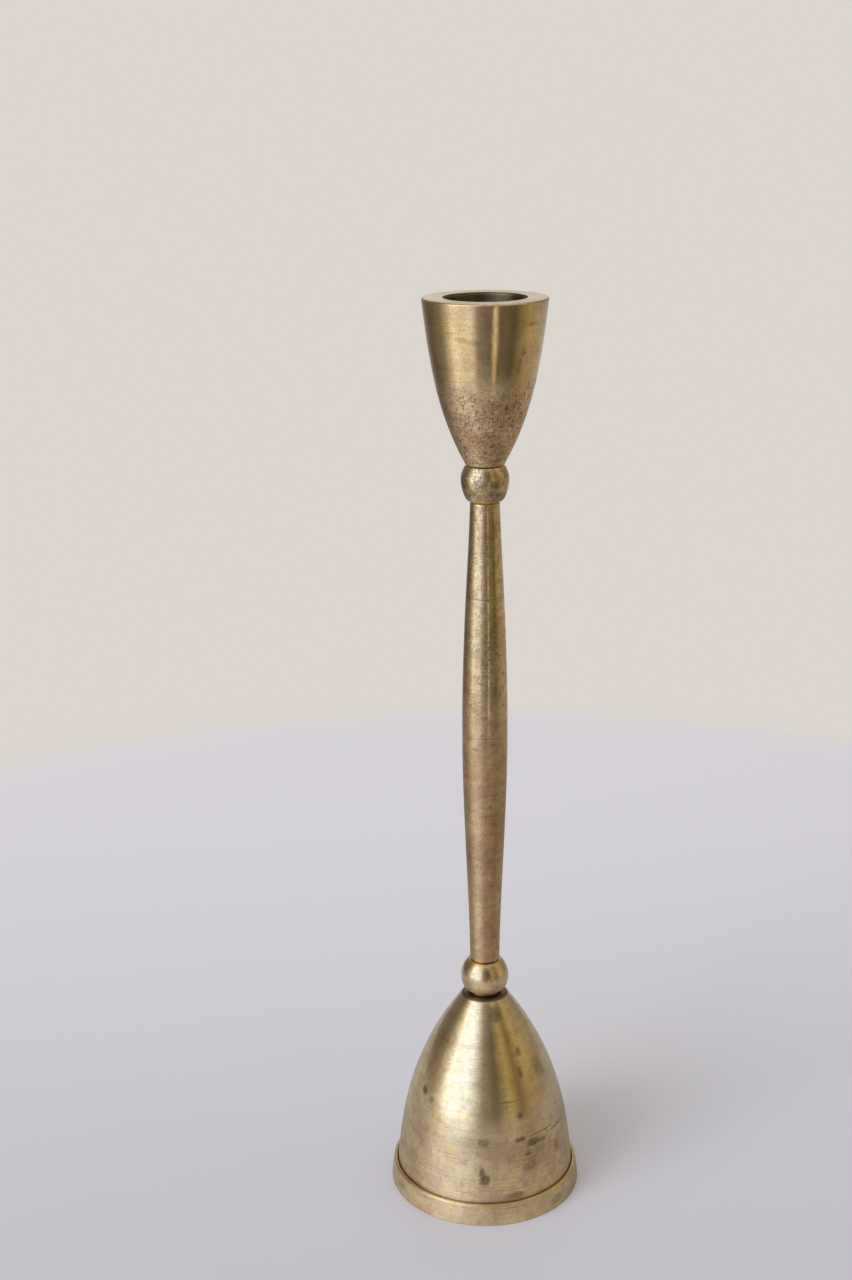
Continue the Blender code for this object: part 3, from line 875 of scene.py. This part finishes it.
def add_bell():
    low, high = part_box("base_bell")
    aging = aged(
        matt_top=low.z + 0.032, matt_bottom=low.z + 0.014,
        matt_light=PALE_BRASS, matt_dark=PINK_BRASS, tarnish=0.6, mottle=0.30, speckle=0.25,
        dirt_matt=0.12, dirt_bright=0.04,
        stains=(
            (0, 0.0286, low.z + 0.0108, 0.0019, 0.0023, 1.0),
            (-2, 0.0284, low.z + 0.0130, 0.0010, 0.0026, 0.9),
            (-1, 0.0266, low.z + 0.0232, 0.0024, 0.0018, 0.75),
            (-10, 0.0276, low.z + 0.0228, 0.0050, 0.0026, 0.3),
            (26, 0.0266, low.z + 0.0230, 0.0022, 0.0010, 1.0),
            (36, 0.0270, low.z + 0.0210, 0.0026, 0.0016, 1.0),
            (43, 0.0271, low.z + 0.0207, 0.0024, 0.0010, 0.8),
            (31, 0.0276, low.z + 0.0177, 0.0012, 0.0009, 0.9),
            (32, 0.0283, low.z + 0.0137, 0.0034, 0.0022, 0.45),
            (34, 0.0275, low.z + 0.0190, 0.0090, 0.0060, 0.28),
            (-4, 0.0280, low.z + 0.0220, 0.0070, 0.0035, 0.22),
            (59, 0.0281, low.z + 0.0158, 0.0018, 0.0026, 0.5),
            (-57, 0.0234, low.z + 0.0346, 0.0015, 0.0016, 0.9),
            (-47, 0.0239, low.z + 0.0331, 0.0012, 0.0009, 0.6),
            (-36, 0.0262, low.z + 0.0280, 0.0018, 0.0012, 0.4),
            (40, 0.0170, low.z + 0.0496, 0.0010, 0.0034, 0.75),
            (35, 0.0200, low.z + 0.0434, 0.0011, 0.0032, 0.8),
            (28, 0.0247, low.z + 0.0308, 0.0013, 0.0014, 0.9),
            (60, 0.0207, low.z + 0.0418, 0.0036, 0.0042, 0.5),
            (48, 0.0220, low.z + 0.0380, 0.0080, 0.0050, 0.25),
            (44, 0.0266, low.z + 0.0234, 0.0060, 0.0004, 0.7),
            (62, 0.0270, low.z + 0.0219, 0.0060, 0.0004, 0.7),
            (20, 0.0243, low.z + 0.0356, 0.0060, 0.0003, 0.6),
            (20, 0.0294, low.z + 0.0044, 0.0040, 0.0012, 0.6),
            # Painted shade: darkens the crown shoulder right of the highlight, below the lower knop.
            (20, 0.0105, high.z - 0.0035, 0.0026, 0.0036, 0.8),
        ),
        tints=(
            (-39, 0.0254, low.z + 0.0280, 0.0020, 0.0018, 0.55),
            (-18, 0.0244, low.z + 0.0315, 0.0028, 0.0010, 0.50),
            (-23, 0.0272, low.z + 0.0203, 0.0026, 0.0020, 0.50),
            (-26, 0.0285, low.z + 0.0147, 0.0028, 0.0014, 0.45),
            (150, 0.0270, low.z + 0.0240, 0.0040, 0.0030, 0.30),
            (230, 0.0260, low.z + 0.0280, 0.0030, 0.0030, 0.30),
        ),
        # Painted shade on the crown, under the lower knop.
        dirt_bands=((high.z, 0.0008, 1.0),),
    )
    add_turned("turned_base_bell", "base_bell", WIDE_SEGMENTS, 0.00004, aging)


def add_ring():
    low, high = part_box("foot_ring")
    aging = aged(
        matt_top=high.z + 0.02, matt_bottom=high.z + 0.01, matt_most=0.6,
        matt_light=PALE_BRASS, matt_dark=PINK_BRASS, tarnish=0.6, mottle=0.3, speckle=0.25,
        dirt_matt=0.12,
        # Bright band on the ring's top shoulder: partly worn brass, partly a painted highlight.
        clean_bands=((high.z, 0.0011, 0.6),),
        stains=((50, 0.0315, 0.0030, 0.0040, 0.0016, 0.4), (-62, 0.0315, 0.0040, 0.0030, 0.0016, 0.35)),
    )
    add_turned("turned_foot_ring", "foot_ring", WIDE_SEGMENTS, 0.00003, aging)


def add_fastenings():
    """Threaded studs, washers and the nut, all plain steel."""
    steel = steel_material("machined_steel")
    for node in ("upper_stud", "lower_stud"):
        mesh = threaded_mesh(f"threaded_{node}", *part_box(node), THREAD_PITCH)
        add_piece(f"threaded_{node}", mesh, steel, node)
    points, closed = outline_of(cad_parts["plain_washer"])
    mesh = turned_mesh("flat_washer", refined(points, closed, OUTLINE_STEP), closed, SLIM_SEGMENTS)
    add_piece("flat_washer", mesh, steel, "plain_washer")
    mesh = spring_washer_mesh("split_washer", *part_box("spring_washer"), NUT_HOLE)
    add_piece("split_washer", mesh, steel, "spring_washer")
    mesh = nut_mesh("chamfered_nut", *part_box("hex_nut"), NUT_HOLE, THREAD_PITCH)
    add_piece("chamfered_nut", mesh, steel, "hex_nut")


# ---------------------------------------------------------------- stage, light and camera

def add_table():
    """A pale round table top whose edge fades out softly and whose colour is painted light and shade."""
    x, y = TABLE_CENTRE
    reach = TABLE_RADIUS + TABLE_SOFT_EDGE
    rings = np.linspace(0, reach, TABLE_RINGS)
    angle = np.arange(TABLE_SEGMENTS) * math.tau / TABLE_SEGMENTS
    corners = np.array([(x + r * math.sin(a), y - r * math.cos(a), 0.0) for r in rings for a in angle])
    index = np.arange(len(corners)).reshape(len(rings), len(angle))
    aside = np.roll(index, -1, axis=1)
    faces = np.stack([index[:-1], aside[:-1], aside[1:], index[1:]], axis=-1).reshape(-1, 4)
    mesh = welded_mesh("table_top", corners, faces.tolist())
    mesh.flip_normals()
    material = bpy.data.materials.new("table_paint")
    material.use_nodes = True
    n = Nodes(material.node_tree)
    place = n.add("ShaderNodeTexCoord").outputs["Object"]
    across, away, _ = n.add("ShaderNodeSeparateXYZ", {0: place}).outputs
    # Painted light and shade: darker near the front, lighter far back.
    colour = n.mix(n.ramp(away, TABLE_NEAR_Y, TABLE_FAR_Y), TABLE_NEAR, TABLE_FAR)
    # Painted light and shade for glossy rays only: the table, as the metal mirrors it, is lighter in some
    # directions round the horizon and darker in others.
    share = turn_share(n, across, away)
    shade = round_ramp(n, share, [(degrees, (light,) * 3) for degrees, light in TABLE_IN_METAL])
    shaded = n.vector("MULTIPLY", colour, shade)
    colour = n.mix(n.add("ShaderNodeLightPath").outputs["Is Glossy Ray"], colour, shaded)
    from_centre = n.length(n.vector("SUBTRACT", place, (x, y, 0.0)))
    fade = n.ramp(from_centre, TABLE_RADIUS - TABLE_SOFT_EDGE, reach)
    paint = n.add("ShaderNodeBsdfDiffuse", {"Color": colour})
    clear = n.add("ShaderNodeBsdfTransparent")
    blend = n.add("ShaderNodeMixShader", {0: fade, 1: paint.outputs[0], 2: clear.outputs[0]})
    n.add("ShaderNodeOutputMaterial", {"Surface": blend.outputs[0]})
    mesh.materials.append(material)
    table = bpy.data.objects.new("table_top", mesh)
    bpy.context.scene.collection.objects.link(table)


def turn_share(n, x, y):
    """How far round the axis a point or direction is: 0 straight behind the candlestick, 0.5 in front."""
    turn = n.math("ARCTAN2", x, n.times(y, -1.0))
    return n.plus(n.math("DIVIDE", turn, math.tau), 0.5)


def round_ramp(n, share, colours):
    """A colour ramp round the horizon: from straight behind the candlestick, past its front, and back."""
    ramp = n.add("ShaderNodeValToRGB", {"Fac": share})
    stops = ramp.color_ramp.elements
    while len(stops) < len(colours):
        stops.new(0.5)
    for stop, (degrees, colour) in zip(stops, colours):
        stop.position = degrees / 360 + 0.5
        stop.color = (*colour, 1.0)
    return ramp.outputs[0]


def set_world():
    """A pale room: plain where the camera sees it, with a window and darker things where metal mirrors it."""
    world = bpy.data.worlds.new("room")
    world.use_nodes = True
    bpy.context.scene.world = world
    n = Nodes(world.node_tree)
    direction = n.add("ShaderNodeTexCoord").outputs["Generated"]
    x, y, z = n.add("ShaderNodeSeparateXYZ", {0: direction}).outputs
    share = turn_share(n, x, y)
    below = round_ramp(n, share, [(degrees, low) for degrees, low, high in SURROUNDINGS])
    above = round_ramp(n, share, [(degrees, high) for degrees, low, high in SURROUNDINGS])
    room = n.mix(n.ramp(z, BELOW_ELEVATION, ABOVE_ELEVATION), below, above)
    room = n.mix(n.ramp(z, CEILING_BEGINS, CEILING_WHOLE), room, CEILING)
    lit = n.add("ShaderNodeBackground", {"Color": room, "Strength": 1.0})
    wall = n.add("ShaderNodeBackground", {"Color": WALL_COLOUR, "Strength": 1.0})
    seen = n.add("ShaderNodeLightPath").outputs["Is Camera Ray"]
    blend = n.add("ShaderNodeMixShader", {0: seen, 1: lit.outputs[0], 2: wall.outputs[0]})
    n.add("ShaderNodeOutputWorld", {"Surface": blend.outputs[0]})


def add_soft_light(name, place, size, power, colour):
    """A large square light that faces the candlestick and isn't mirrored in it."""
    light = bpy.data.lights.new(name, "AREA")
    light.shape = "SQUARE"
    light.size = size
    light.energy = power
    light.color = colour
    lamp = bpy.data.objects.new(name, light)
    lamp.location = place
    lamp.rotation_euler = (-lamp.location).to_track_quat("-Z", "Y").to_euler()
    lamp.visible_glossy = False
    lamp.visible_camera = False
    bpy.context.scene.collection.objects.link(lamp)


def add_camera():
    camera = bpy.data.objects.new("camera", bpy.data.cameras.new("camera"))
    camera.data.lens = CAMERA_LENS
    camera.data.clip_start = CAMERA_NEAR
    aim = Matrix.Rotation(CAMERA_LEFT, 4, "Z") @ Matrix.Rotation(math.pi / 2 - CAMERA_DOWN, 4, "X")
    camera.matrix_world = Matrix.Translation(CAMERA_PLACE) @ aim @ Matrix.Rotation(CAMERA_ROLL, 4, "Z")
    bpy.context.scene.collection.objects.link(camera)
    bpy.context.scene.camera = camera


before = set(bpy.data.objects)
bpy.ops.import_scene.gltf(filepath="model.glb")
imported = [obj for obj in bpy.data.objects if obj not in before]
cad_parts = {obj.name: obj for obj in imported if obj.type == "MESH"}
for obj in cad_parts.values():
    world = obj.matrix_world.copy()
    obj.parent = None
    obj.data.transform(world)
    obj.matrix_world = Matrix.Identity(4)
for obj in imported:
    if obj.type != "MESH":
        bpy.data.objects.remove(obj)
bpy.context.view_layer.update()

add_camera()
set_world()
add_table()
for light_settings in SOFT_LIGHTS:
    add_soft_light(*light_settings)
bpy.context.scene.view_settings.view_transform = "Standard"

add_cup()
add_knops()
add_stem()
add_bell()
add_ring()
add_fastenings()
